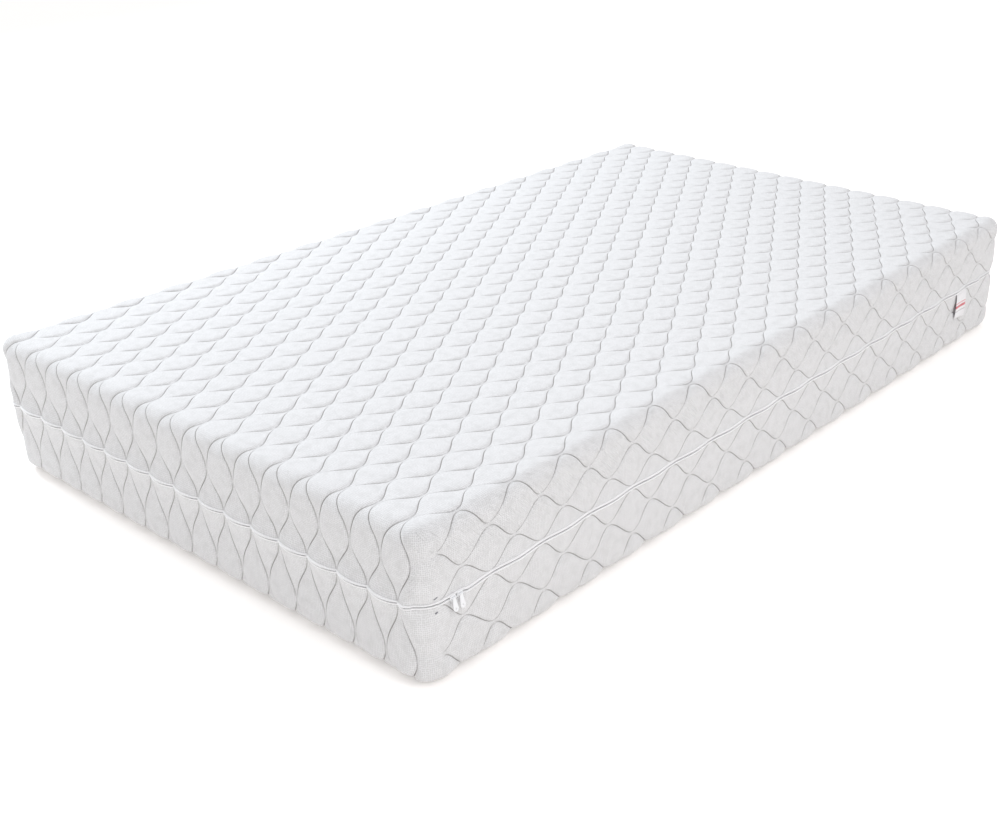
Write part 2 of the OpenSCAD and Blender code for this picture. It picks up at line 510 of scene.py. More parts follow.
@dataclass(frozen=True)
class RoundedBox:
    """Half of a box with round corners and edges, from its flat face to the zip's plane.

    A place on it is given by a and b, the distances from the middle along the sharp box's
    surface. Past half_w or half_l they run on down the side.
    """

    half_w: float
    half_l: float
    corner: float
    edge: float
    face_z: float
    zip_z: float
    drop: float

    def down(self, a: np.ndarray, b: np.ndarray) -> np.ndarray:
        """Returns how far past the sharp edges a place lies."""
        return np.maximum(np.abs(a) - self.half_w, 0) + np.maximum(np.abs(b) - self.half_l, 0)

    def place(self, a: np.ndarray, b: np.ndarray) -> tuple[np.ndarray, np.ndarray]:
        """Works out where points lie and which way they face.

        In plan, the square round each corner is turned into a disc: a point keeps its
        larger distance from the corner's axis as its radius, and its angle is 45 degrees
        times the ratio of the smaller distance to the larger. In section, the length
        along the sharp edge is laid evenly round the edge's quarter circle.

        Args:
            a: Distance across the width.
            b: Distance along the length.

        Returns:
            Points and unit normals, with x, y and z last.
        """
        x, y = np.clip(a, -self.half_w, self.half_w), np.clip(b, -self.half_l, self.half_l)
        down = self.down(a, b) * abs(self.face_z - self.zip_z) / self.drop
        axis_x, axis_y = self.half_w - self.corner, self.half_l - self.corner
        u = np.clip((np.abs(x) - axis_x) / self.corner, 0, 1)
        v = np.clip((np.abs(y) - axis_y) / self.corner, 0, 1)
        radius = np.maximum(u, v)
        ratio = np.minimum(u, v) / np.where(radius > 0, radius, 1)
        turn = np.where(u >= v, math.pi / 4 * ratio, math.pi / 2 - math.pi / 4 * ratio)
        out_x, out_y = np.cos(turn) * np.sign(x), np.sin(turn) * np.sign(y)
        plan_x = np.minimum(np.abs(x), axis_x) * np.sign(x) + self.corner * radius * out_x
        plan_y = np.minimum(np.abs(y), axis_y) * np.sign(y) + self.corner * radius * out_y
        inset = self.corner * (1 - radius)
        on_top = math.pi / 4 * np.clip(1 - inset / self.edge, 0, 1)
        on_side = math.pi / 2 - math.pi / 4 * np.clip(1 - down / self.edge, 0, 1)
        phi = np.where(down > 0, on_side, on_top)
        near = (inset < self.edge) & (radius > 0)
        shift = np.where(near, inset - self.edge * (1 - np.sin(phi)), 0)
        sink = np.where(near, self.edge * (1 - np.cos(phi)), 0) + np.maximum(down - self.edge, 0)
        up = math.copysign(1, self.face_z - self.zip_z)
        z = self.face_z - up * sink
        points = np.stack([plan_x + shift * out_x, plan_y + shift * out_y, z], -1)
        normals = np.stack([out_x * np.sin(phi), out_y * np.sin(phi), up * np.cos(phi)], -1)
        return points, normals


@dataclass(frozen=True)
class Lattice:
    """The quilting: wavy stitch lines along the length that meet two by two.

    Line j follows m = j + 0.5 - 0.45 cos(pi (n - j - 1)), where m counts half cells across
    from the +X edge and n counts them along from the foot edge.
    """

    cells_m: int = 32
    cells_n: int = 32
    bow: float = 0.45
    m_known: tuple[float, ...] = (-3, -2, -1, 0, 1, 32)
    a_known: tuple[float, ...] = (0.7264, 0.6845, 0.638, 0.58, 0.54375, -0.58)
    n_known: tuple[float, ...] = (-2, -1, 0, 32)
    b_known: tuple[float, ...] = (-1.1254, -1.0542, -0.9536, 0.9536)

    def line(self, j: np.ndarray, n: np.ndarray) -> np.ndarray:
        """Returns m on stitch line j at each n."""
        return j + 0.5 - self.bow * np.cos(math.pi * (n - j - 1))

    def a_of(self, m: np.ndarray) -> np.ndarray:
        """Returns the distance across the width for m, interpolated between known rows."""
        return np.interp(m, self.m_known, self.a_known)

    def b_of(self, n: np.ndarray) -> np.ndarray:
        """Returns the distance along the length for n, interpolated between known rows."""
        return np.interp(n, self.n_known, self.b_known)

    def m_of(self, a: np.ndarray) -> np.ndarray:
        """Returns m for a distance across the width."""
        return np.interp(-np.asarray(a), -np.array(self.a_known), self.m_known)

    def n_of(self, b: np.ndarray) -> np.ndarray:
        """Returns n for a distance along the length."""
        return np.interp(b, self.b_known, self.n_known)


def crowd(step: np.ndarray) -> np.ndarray:
    """Returns shares that crowd towards 0 and 1, a cosine mixed with the even steps."""
    return 0.425 * (1 - np.cos(math.pi * step)) + 0.15 * step


def ease(value: np.ndarray) -> np.ndarray:
    """Returns 3 v^2 - 2 v^3, with the value kept between 0 and 1."""
    value = np.clip(value, 0, 1)
    return value * value * (3 - 2 * value)


@dataclass
class QuiltGrid:
    """A grid over one half of the cover whose columns follow the stitch lines.

    Rows run along the length, from the foot's zip to the head's, and columns across the
    width. The side's rows and the foot's rows share their heights, so that they meet at
    each upright corner.
    """

    lattice: Lattice
    form: RoundedBox
    across: int = 10
    along: int = 10

    def __post_init__(self) -> None:
        """Works out the grid's rows, columns and lattice places."""
        self.fold_steps = 3 * self.across + (self.across + 4) // 2
        self._columns()
        self._rows()
        self._places()
        self._number()

    def _columns(self) -> None:
        """Sets each column's strip, its share of the strip's width and its step number."""
        steps = [self.across] * MID_STRIP + [self.across // 2]
        steps[3] += 4
        whole = [*steps[:MID_STRIP], self.across]
        strip = np.concatenate([np.full(s, q) for q, s in enumerate(steps)])
        share = np.concatenate([crowd(np.arange(s) / w) for s, w in zip(steps, whole)])
        step = np.concatenate([np.arange(s) / w for s, w in zip(steps, whole)])
        self.strip = np.concatenate([strip, [MID_STRIP], 2 * MID_STRIP - strip[::-1]])
        self.first = int(np.flatnonzero(self.strip == LEAD_STRIPS)[0])
        self.share = np.concatenate([share, [0.5], 1 - share[::-1]])
        self.step = np.concatenate([step, [0.5], 1 - step[::-1]])
        self.columns = len(self.strip)

    def _rows(self) -> None:
        """Sets n for each row: even heights up the foot, then even steps along."""
        lat, k = self.lattice, np.arange(self.fold_steps)
        drop = abs(lat.b_known[0]) - self.form.half_l
        foot = lat.n_of(-self.form.half_l - drop * (1 - k / self.fold_steps))
        fold = float(lat.n_of(np.array(-self.form.half_l)))
        lead = fold * (1 - np.arange(7) / 7)
        middle = np.arange(lat.cells_n // 2 * self.along) / self.along
        half = np.concatenate([foot, lead, middle])
        self.fold_n = fold
        self.n = np.concatenate([half, [lat.cells_n / 2], lat.cells_n - half[::-1]])
        self.rows = len(self.n)

    def _places(self) -> None:
        """Sets m for every grid point, and from it the distances a and b.

        m is the share between the two stitch lines of the strip. Beside the upright
        corner, it turns smoothly into even heights down the corner's edge.
        """
        lat, mid = self.lattice, self.columns // 2
        strip, share = self.strip[: mid + 1], self.share[: mid + 1]
        n = np.where(self.n > lat.cells_n / 2, lat.cells_n - self.n, self.n)[:, None]
        frozen = np.where(strip < 3, np.maximum(n, 0), n)
        left = np.where(strip == 0, -3.0, lat.line(strip - LEAD_STRIPS, frozen))
        right = lat.line(strip - LEAD_STRIPS + 1, frozen)
        wave = left + (right - left) * share
        drop = lat.a_known[0] - self.form.half_w
        even = lat.m_of(self.form.half_w + drop * (1 - np.arange(mid + 1) / self.fold_steps))
        fold_m = float(lat.m_of(np.array(self.form.half_w)))
        beside = fold_m + (lat.line(np.array(0.0), n) - fold_m) * (share - 0.5) * 2
        edge = np.where(np.arange(mid + 1) <= self.fold_steps, even, beside)
        edge = np.where(strip > 3, wave, edge)
        pull = np.clip(n / self.fold_n, 0, 1)
        pull = np.where(strip > 3, 0, ease(pull))
        m = wave * (1 - pull) + edge * pull
        self.m = np.concatenate([m, lat.cells_m - m[:, -2::-1]], 1)
        self.width = np.abs(lat.a_of(left) - lat.a_of(right))
        self.width = np.concatenate([self.width, self.width[:, -2::-1]], 1)
        self.a, self.b = lat.a_of(self.m), lat.b_of(np.repeat(self.n[:, None], self.columns, 1))
        self.a[:, mid + 1 :] = -self.a[:, mid - 1 :: -1]
        self.b[self.rows // 2 + 1 :] = -self.b[self.rows // 2 - 1 :: -1]

    def _number(self) -> None:
        """Numbers the vertices, and joins the foot and head to the sides at the corners."""
        f, r, c = self.fold_steps, self.rows, self.columns
        used = np.ones((r, c), bool)
        for rows in (slice(0, f), slice(r - f, r)):
            used[rows, : f + 1] = used[rows, c - f - 1 :] = False
        self.used = used
        numbers = np.full((r, c), -1)
        numbers[used] = np.arange(used.sum())
        low, high = np.arange(f), np.arange(f)[::-1]
        numbers[low, f] = numbers[f, low]
        numbers[low, c - 1 - f] = numbers[f, c - 1 - low]
        numbers[r - 1 - low, f] = numbers[r - 1 - f, low]
        numbers[r - 1 - low, c - 1 - f] = numbers[r - 1 - f, c - 1 - low]
        self.numbers = numbers

    def quads(self) -> tuple[np.ndarray, np.ndarray]:
        """Lists the outer faces.

        Returns:
            Vertex numbers of each face, and the grid index of each face's corners.
        """
        flat = np.arange(self.rows * self.columns).reshape(self.rows, self.columns)
        pick = [flat[:-1, :-1], flat[1:, :-1], flat[1:, 1:], flat[:-1, 1:]]
        cells = np.stack(pick, -1).reshape(-1, 4)
        faces = self.numbers.ravel()[cells]
        kept = (faces >= 0).all(1)
        return faces[kept], cells[kept]

    def rim(self) -> np.ndarray:
        """Returns the grid index of each vertex along the zip, counter-clockwise from above."""
        f, r, c = self.fold_steps, self.rows, self.columns
        flat = np.arange(r * c).reshape(r, c)
        side = flat[f : r - f - 1, 0]
        head = np.concatenate([[flat[r - f - 1, 0]], flat[r - 1, f + 1 : c - f - 1]])
        far = flat[f + 1 : r - f, c - 1][::-1]
        foot = np.concatenate([[flat[f, c - 1]], flat[0, f + 1 : c - f - 1][::-1]])
        return np.concatenate([side, head, far, foot])


@dataclass
class Relief:
    """How far the zip's line stands out from the valleys, in metres.

    On the long sides it swells between stitch nodes as a sine squared of n. On the foot
    and the head it swells as a bowed cosine of m. Round the corners and behind the
    sliders it stays level.
    """

    lattice: Lattice
    least: float = 1.8 * MM
    side_swell: float = 4.2 * MM
    foot_swell: float = 9.6 * MM
    level: float = 1.9 * MM

    def side(self, n: np.ndarray) -> np.ndarray:
        """Returns the relief along a long side at each n."""
        m = self.lattice.cells_n - n
        near = np.minimum(n, m)
        wave = self.least + self.side_swell * np.sin(math.pi * n / 2) ** 2
        calm = np.clip((1.0 - near) / 0.15, 0, 1)
        return wave * (1 - calm) + self.level * calm

    def foot(self, m: np.ndarray) -> np.ndarray:
        """Returns the relief along the foot or head at each m."""
        near = np.minimum(m, self.lattice.cells_m - m)
        wave = self.least + self.foot_swell * np.abs(np.cos(math.pi * m / 2)) ** 0.7
        calm = np.clip((0.5 - near) / 0.5, 0, 1)
        return wave * (1 - calm) + self.level * calm


@dataclass
class Swatch:
    """A small piece of the quilt, blown up by cloth simulation between its stitch lines.

    Its cells are handed out to the cover, so that no two neighbours are alike.
    """

    lattice: Lattice
    across: int
    along: int
    strips: int = 6
    waves: int = 6
    half_cell: tuple[float, float] = (0.03625, 0.0596)
    frames: int = 20
    pressure: float = 20.0
    slack: float = 0.035
    seed: int = 11

    def _flat(self) -> tuple[np.ndarray, np.ndarray]:
        """Returns the swatch's flat points and the step share of each column."""
        k = np.arange(self.strips * self.across + 1)
        strip = np.minimum(k // self.across, self.strips - 1)
        step = k / self.across - strip
        share = crowd(step)
        n = (np.arange(self.waves * self.along + 1) / self.along)[:, None]
        left, right = self.lattice.line(strip * 1.0, n), self.lattice.line(strip + 1.0, n)
        m = left + (right - left) * share
        wide, long = self.half_cell
        points = np.stack([-wide * m, long * n + 0 * m, 0 * m], -1)
        width = wide * (right - left)
        points[..., 2] = 0.05 * width * (4 * share * (1 - share)) ** 0.7
        return points, step

    def run(self) -> np.ndarray:
        """Simulates the swatch and cuts it into cells.

        Returns:
            How far each point moves across, along and outwards, in metres, by cell, by
            row of the cell and by step across it.
        """
        points, step = self._flat()
        rows, columns = points.shape[:2]
        flat = points * [1, 1, 0]
        pinned = np.zeros((rows, columns), bool)
        pinned[:, (step == 0) | (step == 1)] = True
        pinned[[0, -1]] = True
        noise = np.random.default_rng(self.seed).normal(0, 0.15 * MM, (rows, columns))
        points[..., 2] += np.where(pinned, 0, noise)
        points[pinned, 2] = 0
        quads = grid_quads(rows, columns)[:, ::-1]
        piece = add_mesh("quilt_swatch", points.reshape(-1, 3), quads)
        group = piece.vertex_groups.new(name="stitched")
        numbers = np.arange(rows * columns).reshape(rows, columns)[pinned]
        group.add(numbers.tolist(), 1.0, "REPLACE")
        cloth = piece.modifiers.new("Cloth", "CLOTH")
        cloth.settings.vertex_group_mass = "stitched"
        cloth.settings.use_pressure = True
        cloth.settings.uniform_pressure_force = self.pressure
        cloth.settings.shrink_min = -self.slack
        cloth.settings.bending_stiffness = 1.5
        cloth.settings.quality = 6
        cloth.settings.mass = 0.1
        cloth.settings.effector_weights.gravity = 0
        cloth.collision_settings.use_collision = False
        cloth.point_cache.frame_end = self.frames
        for step_no in range(1, self.frames + 1):
            bpy.context.scene.frame_set(step_no)
        shaped = piece.evaluated_get(bpy.context.evaluated_depsgraph_get())
        found = np.empty(rows * columns * 3, np.float32)
        shaped.data.vertices.foreach_get("co", found)
        bpy.data.objects.remove(piece)
        bpy.context.scene.frame_set(1)
        return self._cells(found.reshape(rows, columns, 3) - flat)

    def _cells(self, moved: np.ndarray) -> np.ndarray:
        """Cuts the moves into whole cells that start at a node, heights kept above zero."""
        moved[..., 2] = np.clip(moved[..., 2], 0, 9.5 * MM)
        cells, length = [], 2 * self.along
        for strip in range(1, self.strips - 1):
            first = strip % 2
            for start in range(first, self.waves - 1, 2):
                rows = slice(start * self.along, start * self.along + length + 1)
                columns = slice(strip * self.across, (strip + 1) * self.across + 1)
                if rows.start > 0 and rows.stop < len(moved):
                    cells.append(moved[rows, columns])
        return np.array(cells)


@dataclass
class QuiltedCover:
    """One half of the zip-off cover: knit and wadding as one padded form, and its backing."""

    half: Half
    lattice: Lattice
    relief: Relief
    cells: np.ndarray | None
    corner: float = 44 * MM
    edge: float = 24 * MM
    half_w: float = 594 * MM
    half_l: float = 993 * MM
    zip_z: float = 150 * MM
    upper_z: float = 278 * MM
    lower_z: float = 8 * MM
    crown: float = 8.6 * MM
    flatness: float = 0.6

    def __post_init__(self) -> None:
        """Sets the form and the grid that this half is worked out on."""
        self.word = self.half.name.lower()
        self.face_z = self.upper_z if self.half is Half.UPPER else self.lower_z
        self.form = self._box(0.0, self.face_z)
        self.grid = QuiltGrid(self.lattice, self.form)

    def _box(self, inset: float, face_z: float) -> RoundedBox:
        """Returns the cover's form drawn in by an inset, with its flat face at face_z."""
        drop = 135 * MM
        sizes = (self.half_w - inset, self.half_l - inset, self.corner - inset)
        return RoundedBox(*sizes, self.edge - inset, face_z, self.zip_z, drop)

    def _crown_of(self, width: np.ndarray) -> np.ndarray:
        """Returns a puff's height for its width, the crown times a power of the width."""
        return self.crown * np.minimum(np.maximum(width, 0) / (72 * MM), 1) ** 0.9

    def _strip_puffs(self) -> tuple[np.ndarray, np.ndarray]:
        """Works out each point's puff height and its sideways moves.

        The plain height is the crown for the strip's width times 1 - |2 t - 1|^4, to the
        power 0.6, where t is the share across the strip: a plateau between two shoulders.
        Along the lower rolled edges it is a bow instead, a power of 4 t (1 - t). Away from
        the lines, the simulated cells take half of it over.
        """
        grid = self.grid
        t = grid.share[None, :]
        plain = self._crown_of(grid.width) * (1 - np.abs(2 * t - 1) ** 4) ** 0.6
        if self.half is Half.LOWER:
            bow = 1.15 * self._crown_of(grid.width) * (4 * t * (1 - t)) ** 0.75
            plain = plain + (bow - plain) * self._bell()
        node = (grid.n[:, None] - (grid.strip[None, :] - LEAD_STRIPS)) / 2
        cell_no = np.floor(node).astype(int)
        pick = np.random.default_rng(5)
        tables = pick.integers(0, 1 << 16, (grid.strip.max() + 1, 64))
        chance = tables[grid.strip[None, :], cell_no + 20]
        moves = np.zeros(plain.shape + (3,))
        if self.cells is None:
            heights = plain * (0.92 + 0.12 * (chance % 97) / 97)
            return heights, moves
        nu = (node - cell_no) * (self.cells.shape[1] - 1)
        kappa = grid.step[None, :] * (self.cells.shape[2] - 1) + 0 * nu
        flip_n, flip_k = (chance // 7) % 2 == 1, (chance // 13) % 2 == 1
        nu = np.where(flip_n, self.cells.shape[1] - 1 - nu, nu)
        kappa = np.where(flip_k, self.cells.shape[2] - 1 - kappa, kappa)
        r0 = np.clip(np.floor(nu).astype(int), 0, self.cells.shape[1] - 2)
        k0 = np.clip(np.floor(kappa).astype(int), 0, self.cells.shape[2] - 2)
        part_r, part_k = (nu - r0)[..., None], (kappa - k0)[..., None]
        cell = chance % len(self.cells)
        low, high = (
            self.cells[cell, r0 + up, k0] * (1 - part_k) + self.cells[cell, r0 + up, k0 + 1] * part_k
            for up in (0, 1)
        )
        moved = low * (1 - part_r) + high * part_r
        end = np.clip(np.minimum(node - cell_no, 1 - node + cell_no) / 0.12, 0, 1)
        taken = end * ease(np.minimum(t, 1 - t) / 0.35)
        heights = plain + (moved[..., 2] - plain) * 0.5 * taken
        moves[..., 0] = moved[..., 0] * np.where(flip_k, -1, 1) * taken * 0.5
        moves[..., 1] = moved[..., 1] * np.where(flip_n, -1, 1) * taken * 0.5
        return heights, moves

    def _bell(self) -> np.ndarray:
        """Returns a bell of each grid point's distance from the rolled edges, 1 on them."""
        off_a = (np.abs(self.grid.a) - self.half_w - 4 * MM) / (24 * MM)
        off_b = (np.abs(self.grid.b) - self.half_l - 4 * MM) / (24 * MM)
        return np.maximum(np.exp(-(off_a**2)), np.exp(-(off_b**2)))

    def _lift(self) -> np.ndarray:
        """Returns the share of the full puff height that each grid point gets.

        It is low on the taut faces, and a bell of the distance from the fold raises it
        along the rolled edges. The underside keeps all of it, because it is pressed flat.
        """
        grid, bell = self.grid, self._bell()
        if self.half is Half.UPPER:
            return self.flatness + 0.15 * bell
        _, normals = self.form.place(grid.a, grid.b)
        share = np.maximum(ease(np.abs(normals[..., 2]) / 0.3), bell)
        return self.flatness + (1 - self.flatness) * share

    def _bridges(self) -> np.ndarray:
        """Marks where the lower long edges have no valley, from 0 to 1.

        There every other stroke of a stitch line, the one on which m falls with n, runs
        out before it reaches the fold.
        """
        grid = self.grid
        nearest = (grid.strip - LEAD_STRIPS + (grid.share >= 0.5))[None, :]
        falling = ease(-1.4 * np.sin(math.pi * (grid.n[:, None] - nearest - 1)))
        off = (np.abs(grid.a) - self.half_w + 6 * MM) / (20 * MM)
        inside = ease((self.half_l - np.abs(grid.b)) / (40 * MM))
        return falling * np.exp(-(off**4)) * inside * (self.half is Half.LOWER)

    def _corner_puffs(self, heights: np.ndarray) -> np.ndarray:
        """Swells the unquilted upright corners.

        Level by level, the height is a bow between the first row of the long side and
        the outermost stitch line of the foot, pinched a little at the top node's level.
        """
        grid, lat = self.grid, self.lattice
        f, mid_r, mid_c = grid.fold_steps, grid.rows // 2, grid.columns // 2
        quarter = heights[: mid_r + 1, : mid_c + 1].copy()
        a, b = grid.a[: mid_r + 1, : mid_c + 1], grid.b[: mid_r + 1, : mid_c + 1]
        lead = lat.b_of(np.array(0.0)) + self.half_l
        levels = np.arange(f + 1)
        first = grid.first
        reach = lead + self.half_w - a[levels, first]
        side_gone = np.clip(-(b[f:, : f + 1] - lat.b_of(np.array(0.0))), 0, None)
        tau_side = side_gone / reach
        tau_foot = (lead + self.half_w - a[: f + 1, f : first + 1]) / reach[:, None]
        z_share = levels / f
        pinch = 1 - 0.4 * np.exp(-(((z_share - 0.62) / 0.09) ** 2))
        swell = self._crown_of(reach) * pinch
        bow_side = swell * (4 * tau_side * (1 - tau_side)).clip(0) ** 0.6
        bow_foot = swell[:, None] * (4 * tau_foot * (1 - tau_foot)).clip(0) ** 0.6
        fade = np.clip(1 + grid.n[f : mid_r + 1, None] / 0.3, 0, 1)
        old = quarter[f:, : f + 1] * np.where(grid.n[f : mid_r + 1, None] < 0, fade, 1)
        quarter[f:, : f + 1] = np.hypot(old, np.where(side_gone > 0, bow_side, 0))
        quarter[: f + 1, f : first + 1] = bow_foot
        top = slice(f, f + 8)
        share = np.clip(grid.n[top, None] / grid.fold_n, 0, 1)
        corner_row = bow_foot[-1]
        span = quarter[top, f : first + 1]
        quarter[top, f : first + 1] = span * (1 - share) + corner_row * share
        full = heights.copy()
        full[: mid_r + 1, : mid_c + 1] = quarter
        full[mid_r:, : mid_c + 1] = np.where(
            self._corner_zone()[mid_r:, : mid_c + 1], quarter[::-1], full[mid_r:, : mid_c + 1]
        )
        mirrored = full[:, mid_c::-1]
        zone = self._corner_zone()[:, mid_c:]
        full[:, mid_c:] = np.where(zone, mirrored, full[:, mid_c:])
        return full

    def _corner_zone(self) -> np.ndarray:
        """Marks the grid points whose height comes from a corner's swelling."""
        grid = self.grid
        near_n = np.minimum(grid.n, self.lattice.cells_n - grid.n)[:, None]
        near_c = np.minimum(np.arange(grid.columns), grid.columns - 1 - np.arange(grid.columns))
        return (near_n < 0) & (near_c[None, :] <= grid.first)

    def _zip_blend(self, heights: np.ndarray) -> np.ndarray:
        """Draws the puffs beside the zip out or in to the zip's own relief."""
        grid = self.grid
        _, normals = self.form.place(grid.a, grid.b)
        depth = self.form.down(grid.a, grid.b)
        reach, last = 26 * MM, self.lattice.a_known[0] - self.half_w
        beta = np.clip(1 - (last - depth) / reach, 0, 1) ** 1.6
        m_all = np.clip(grid.m, 0, self.lattice.cells_m)
        side = self.relief.side(np.clip(grid.n, 0, self.lattice.cells_n))[:, None]
        foot = self.relief.foot(m_all)
        on_foot = np.abs(normals[..., 1]) > np.abs(normals[..., 0])
        target = np.where(on_foot, foot, side + 0 * foot)
        return heights + (target - heights) * beta

    def _heights(self) -> tuple[np.ndarray, np.ndarray]:
        """Returns the final puff heights and sideways moves over the grid."""
        heights, moves = self._strip_puffs()
        zone = self._corner_zone()
        heights = heights * self._lift()
        full = 0.9 * self._crown_of(self.grid.width)
        heights = heights + np.maximum(full - heights, 0) * 0.8 * self._bridges()
        heights = self._corner_puffs(heights)
        moves[zone] = 0
        heights = self._zip_blend(heights)
        if self.half is Half.LOWER:
            _, normals = self.form.place(self.grid.a, self.grid.b)
            flat = ease((np.abs(normals[..., 2]) - 0.5) / 0.45)
            pressed = np.minimum(heights, 7.3 * MM + 0.3 * MM * np.tanh(heights / MM))
            heights = heights * (1 - flat) + pressed * flat
        return heights, moves

    def marks(self) -> dict[str, np.ndarray]:
        """Works out what the knit's finish reads at each grid point.

        Returns:
            The distance to the nearest stitch line in metres, how strongly that line's painted
            shade shows, as a power of |sin(pi n)| that is 0 at the nodes, and how far the cloth
            is pulled.
        """
        grid = self.grid
        last = grid.strip.max()
        near = np.minimum(grid.share, 1 - grid.share)
        near = np.where(grid.strip == 0, 1 - grid.share, near)
        near = np.where(grid.strip == last, grid.share, near)
        # depth weighs the stitch lines' painted shade: strongest midway between nodes, none at them,
        # less on the bridges
        depth = np.repeat(np.abs(np.sin(math.pi * grid.n))[:, None] ** 0.7, grid.columns, 1)
        off = (np.minimum(grid.n, self.lattice.cells_n - grid.n) < 0)[:, None]
        beside = np.minimum(np.arange(grid.columns), np.arange(grid.columns)[::-1])
        depth = np.where(off & (beside < grid.first - 1)[None, :], 0, depth)
        depth = depth * (1 - 0.7 * self._bridges())
        wide = np.abs(grid.a)
        stress = ease((wide - 0.55) / 0.04) * ease((0.715 - wide) / 0.06)
        stress = 0.12 + stress * (0.88 if self.half is Half.UPPER else 0.4)
        return {"seam": near[None, :] * grid.width, "depth": depth, "stress": stress}

    def _wandered(self) -> tuple[np.ndarray, np.ndarray]:
        """Returns a and b where the cloth really lies.

        On the flat faces the stitching wanders by a sum of slow sines of a and b. On the
        sides the cloth has slipped along: eased steps of the distance down the side
        share out a slip along the long sides and one along the foot and head.
        """
        grid = self.grid
        a, b = grid.a, grid.b
        across = 0.9 * MM * np.sin(7.1 * b + 3.3 * a) + 0.6 * MM * np.sin(17.3 * b - 9.1 * a)
        along = 0.9 * MM * np.sin(8.3 * a - 2.9 * b) + 0.6 * MM * np.sin(15.7 * a + 11.9 * b)
        calm = np.clip((self.half_w - np.abs(a)) / (60 * MM), 0, 1)
        calm = calm * np.clip((self.half_l - np.abs(b)) / (60 * MM), 0, 1)
        down_a, down_b = np.abs(a) - self.half_w, np.abs(b) - self.half_l
        last = self.lattice.a_known[0] - self.half_w
        slips = (0, 8, 12, 10) if self.half is Half.UPPER else (0, 5, 14, 10)
        slip_b = -MM * np.interp(down_a, (-8 * MM, 42 * MM, 90 * MM, last), slips)
        start, stop = (-10 * MM, 30 * MM) if self.half is Half.UPPER else (70 * MM, last)
        slip_a = 8 * MM * ease((down_b - start) / (stop - start))
        slip_b = slip_b * ease(-down_b / (130 * MM))
        slip_a = slip_a * ease(-down_a / (130 * MM))
        return a + across * calm + slip_a, b + along * calm + slip_b

    def surface(self) -> np.ndarray:
        """Works out the outer surface.

        The puffed height goes out along the form's normal, and a sideways move along the
        form's own two directions.

        Returns:
            Points over the whole grid.
        """
        heights, moves = self._heights()
        points, normals = self.form.place(*self._wandered())
        points = points + normals * heights[..., None]
        beside = np.stack([moves[..., 0], moves[..., 1], 0 * heights], -1)
        return points + beside * (np.abs(normals[..., 2:]) ** 2)

    def padded_piece(self, material: bpy.types.Material) -> bpy.types.Object:
        """Builds the closed padded form: puffed outside, rolled rim, plain inside.

        Args:
            material: The knit's finish.

        Returns:
            The finished piece.
        """
        grid = self.grid
        points = self.surface()
        used = grid.used
        outer = points[used]
        faces, cells = grid.quads()
        rim = grid.rim()
        rim_numbers = grid.numbers.ravel()[rim]
        a, b = grid.a.ravel()[rim], grid.b.ravel()[rim]
        up = self.half.value
        inner_z = 277.8 * MM if self.half is Half.UPPER else 9.1 * MM
        inside = self._box(0.15 * MM, inner_z)
        base, normals = inside.place(a, b)
        outward = normals * [1, 1, 0]
        lip = points.reshape(-1, 3)[rim]
        stand = ((lip - base) * outward).sum(-1)[:, None]
        rolled = lip - outward * stand * 0.45 - [0, 0, 0.5 * MM * up]
        tucked = base + [0, 0, 0.9 * MM * up]
        depth = self.form.down(a, b)
        rings = [rolled, tucked]
        for share in (0.75, 0.5, 0.25, 0.16, 0.08, 0.0):
            shrink = depth * (1 - share)
            ra = np.sign(a) * (np.abs(a) - np.where(np.abs(a) > self.half_w, shrink, 0))
            rb = np.sign(b) * (np.abs(b) - np.where(np.abs(b) > self.half_l, shrink, 0))
            rings.append(inside.place(ra, rb)[0])
        level = rings[-1] - outward * (self.edge + 4 * MM)
        level[:, 2] = inner_z
        rings.append(level)
        count = len(rim)
        numbers = np.concatenate(
            [rim_numbers, len(outer) + np.arange(count * len(rings))]
        ).reshape(-1, count)
        ring_faces = grid_quads(len(numbers), count, ring=True)
        ring_faces = numbers.ravel()[ring_faces]
        cap = numbers[-1]
        quads = np.concatenate([faces, ring_faces[:, ::-1]])
        if self.half is Half.LOWER:
            quads, cap = quads[:, ::-1], cap[::-1]
            cells = cells[:, ::-1]
        cloth = np.stack([grid.a, grid.b], -1).reshape(-1, 2)
        inner_uv = np.zeros((ring_faces.shape[0], 4, 2))
        maps = {"Cloth": np.concatenate([cloth[cells], inner_uv])}
        spare = np.zeros(count * len(rings))
        values = {key: np.concatenate([mark[used], spare]) for key, mark in self.marks().items()}
        name = f"cover_{self.word}"
        every = np.concatenate([outer, *rings])
        piece = add_mesh(name, every, quads, (cap[::-1],), maps, values)
        nodes = (f"{self.word}_cover_knit", f"{self.word}_cover_wadding")
        return finished(piece, material, "cover_knit", *nodes, fill=0.6)

    def rim_path(self) -> tuple[np.ndarray, np.ndarray, np.ndarray]:
        """Returns places on the valley plane along the zip, outward directions and relief."""
        grid = self.grid
        rim = grid.rim()
        a, b = (way.ravel()[rim] for way in self._wandered())
        base, normals = self.form.place(a, b)
        points = self.surface()
        stand = ((points.reshape(-1, 3)[rim] - base) * normals).sum(-1)
        base[:, 2] = self.zip_z
        return base, normals * [1, 1, 0], stand

